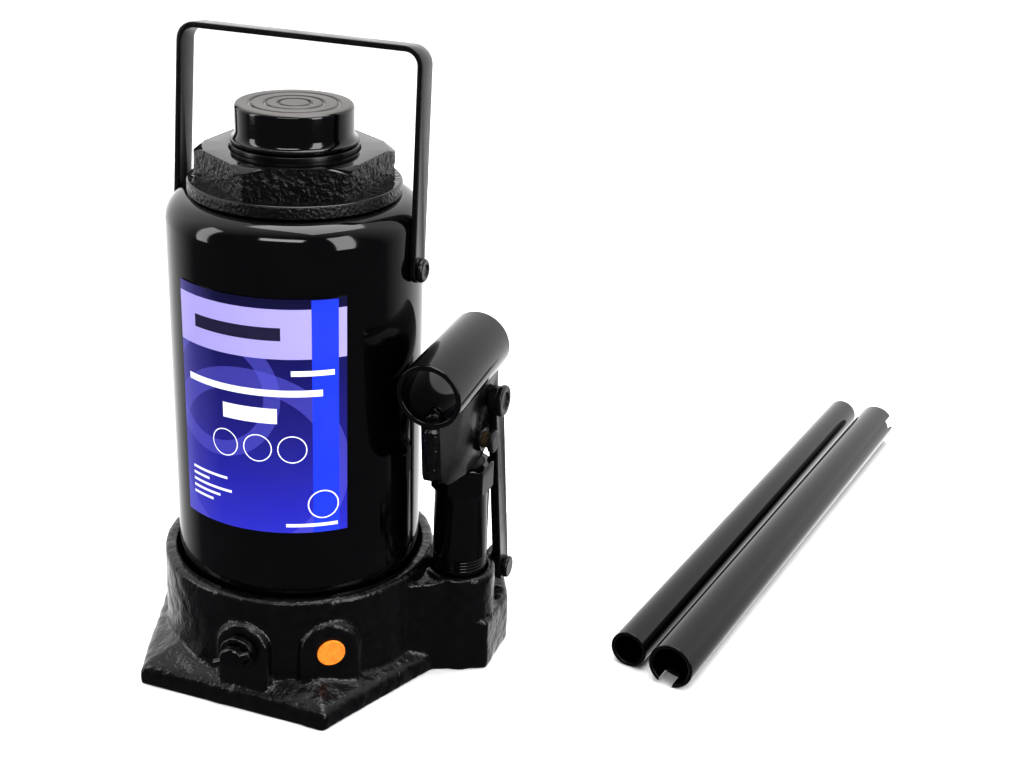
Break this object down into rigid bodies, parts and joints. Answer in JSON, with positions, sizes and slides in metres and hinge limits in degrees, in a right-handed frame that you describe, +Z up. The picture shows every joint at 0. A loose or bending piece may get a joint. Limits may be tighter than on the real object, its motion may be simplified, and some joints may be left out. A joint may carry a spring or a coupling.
{
  "type": "hydraulic bottle jack",
  "caption": "Upright hydraulic bottle jack with grooved saddle, hex top nut, strap carry handle, side pump with handle socket, and two loose handle tubes.",
  "frame": {"origin": "on the ram's axis, at the underside of the base", "axes": "+Z up along the ram's travel; -Y towards the person pumping (the socket's mouth and the release valve face -Y); +X towards the pump"},
  "size_m": [0.3057, 0.4246, 0.2828],
  "materials": {
    "cast_iron_paint": "rough black paint over sand-cast iron",
    "gloss_paint": "high-gloss black paint",
    "nut_paint": "black paint over a cast hexagon with turned faces",
    "satin_paint": "satin black paint",
    "machined_steel": "machined",
    "rubber": "moulded",
    "brass": "machined",
    "label": "printed film",
    "orange_cap": "moulded"
  },
  "bodies": {
    "jack_body": {"base_casting": "cast_iron_paint", "tank_gasket": "rubber", "cylinder_gasket": "brass", "tank_shell": "gloss_paint", "pressure_cylinder": "machined_steel", "top_nut": "nut_paint", "wiper_ring": "satin_paint", "filler_plug": "rubber", "label_panel": "label", "safety_plug": "machined_steel", "safety_spring": "machined_steel", "safety_ball": "machined_steel", "safety_valve_cap": "orange_cap", "release_gland": "cast_iron_paint", "release_ball": "machined_steel", "pump_cylinder": "gloss_paint", "pump_gland_seal": "rubber", "suction_valve_plug": "machined_steel", "discharge_valve_plug": "machined_steel", "discharge_valve_spring": "machined_steel", "bail_rivet_right": "satin_paint", "bail_rivet_left": "satin_paint", "link_foot_pin": "satin_paint", "link_foot_clip": "satin_paint"},
    "ram": {"ram_rod": "machined_steel", "ram_saddle": "gloss_paint", "ram_guide_ring": "brass", "ram_cup_seal": "rubber"},
    "carry_handle": {"carry_handle": "satin_paint"},
    "release_screw": {"release_screw": "cast_iron_paint", "release_cross_pin": "cast_iron_paint"},
    "pump_piston": {"pump_piston": "machined_steel", "pump_cup_seal": "rubber", "piston_pin": "satin_paint", "piston_pin_washer": "satin_paint", "piston_pin_clip": "satin_paint"},
    "lever": {"handle_socket": "gloss_paint", "lever_bracket": "satin_paint"},
    "links": {"link_right": "satin_paint", "link_left": "satin_paint", "fulcrum_pin": "satin_paint", "fulcrum_pin_clip": "satin_paint"},
    "suction_ball": {"suction_valve_ball": "machined_steel"},
    "discharge_ball": {"discharge_valve_ball": "machined_steel"},
    "handle_tube_thin": {"handle_tube_thin": "gloss_paint"},
    "handle_tube_wide": {"handle_tube_wide": "gloss_paint"}
  },
  "joints": [
    {"name": "ram_lift", "type": "slide", "parent": "jack_body", "child": "ram", "axis": [0, 0, 1], "range_m": [0, 0.16]},
    {"name": "carry_handle_fold", "type": "hinge", "parent": "jack_body", "child": "carry_handle", "pos_m": [0, 0, 0.1905], "axis": [-1, 0, 0], "range_deg": [0, 133]},
    {"name": "lever_swing", "type": "hinge", "parent": "pump_piston", "child": "lever", "pos_m": [0.0747, 0.0126, 0.112], "axis": [-1, 0, 0], "range_deg": [0, 50]},
    {"name": "pump_stroke", "type": "slide", "parent": "jack_body", "child": "pump_piston", "axis": [0, 0, 1], "range_m": [0, 0.015]},
    {"name": "link_swing", "type": "hinge", "parent": "jack_body", "child": "links", "pos_m": [0.0747, 0.0406, 0.034], "axis": [-1, 0, 0], "range_deg": [0, 4.9]},
    {"name": "release_turn", "type": "hinge", "parent": "jack_body", "child": "release_screw", "pos_m": [0.004, -0.072, 0.028], "axis": [0, -1, 0], "range_deg": [0, 360]},
    {"name": "suction_ball_lift", "type": "slide", "parent": "jack_body", "child": "suction_ball", "axis": [0, 0, 1], "range_m": [0, 0.0012]},
    {"name": "discharge_ball_lift", "type": "slide", "parent": "jack_body", "child": "discharge_ball", "axis": [0, 0, 1], "range_m": [0, 0.001], "stiffness_N_per_m": 150, "springref_m": -0.002, "deforming": ["discharge_valve_spring"]},
    {"name": "thin_tube_lift", "type": "slide", "parent": "jack_body", "child": "handle_tube_thin", "axis": [0, 0, 1], "range_m": [0, 0.2]},
    {"name": "wide_tube_lift", "type": "slide", "parent": "jack_body", "child": "handle_tube_wide", "axis": [0, 0, 1], "range_m": [0, 0.2]}
  ],
  "couplings": [
    {"joint": "carry_handle_fold", "follows": "ram_lift", "rad_per_m": 14.5},
    {"joint": "pump_stroke", "follows": "lever_swing", "m_per_rad": 0.0171},
    {"joint": "link_swing", "follows": "lever_swing", "ratio": 0.097}
  ]
}
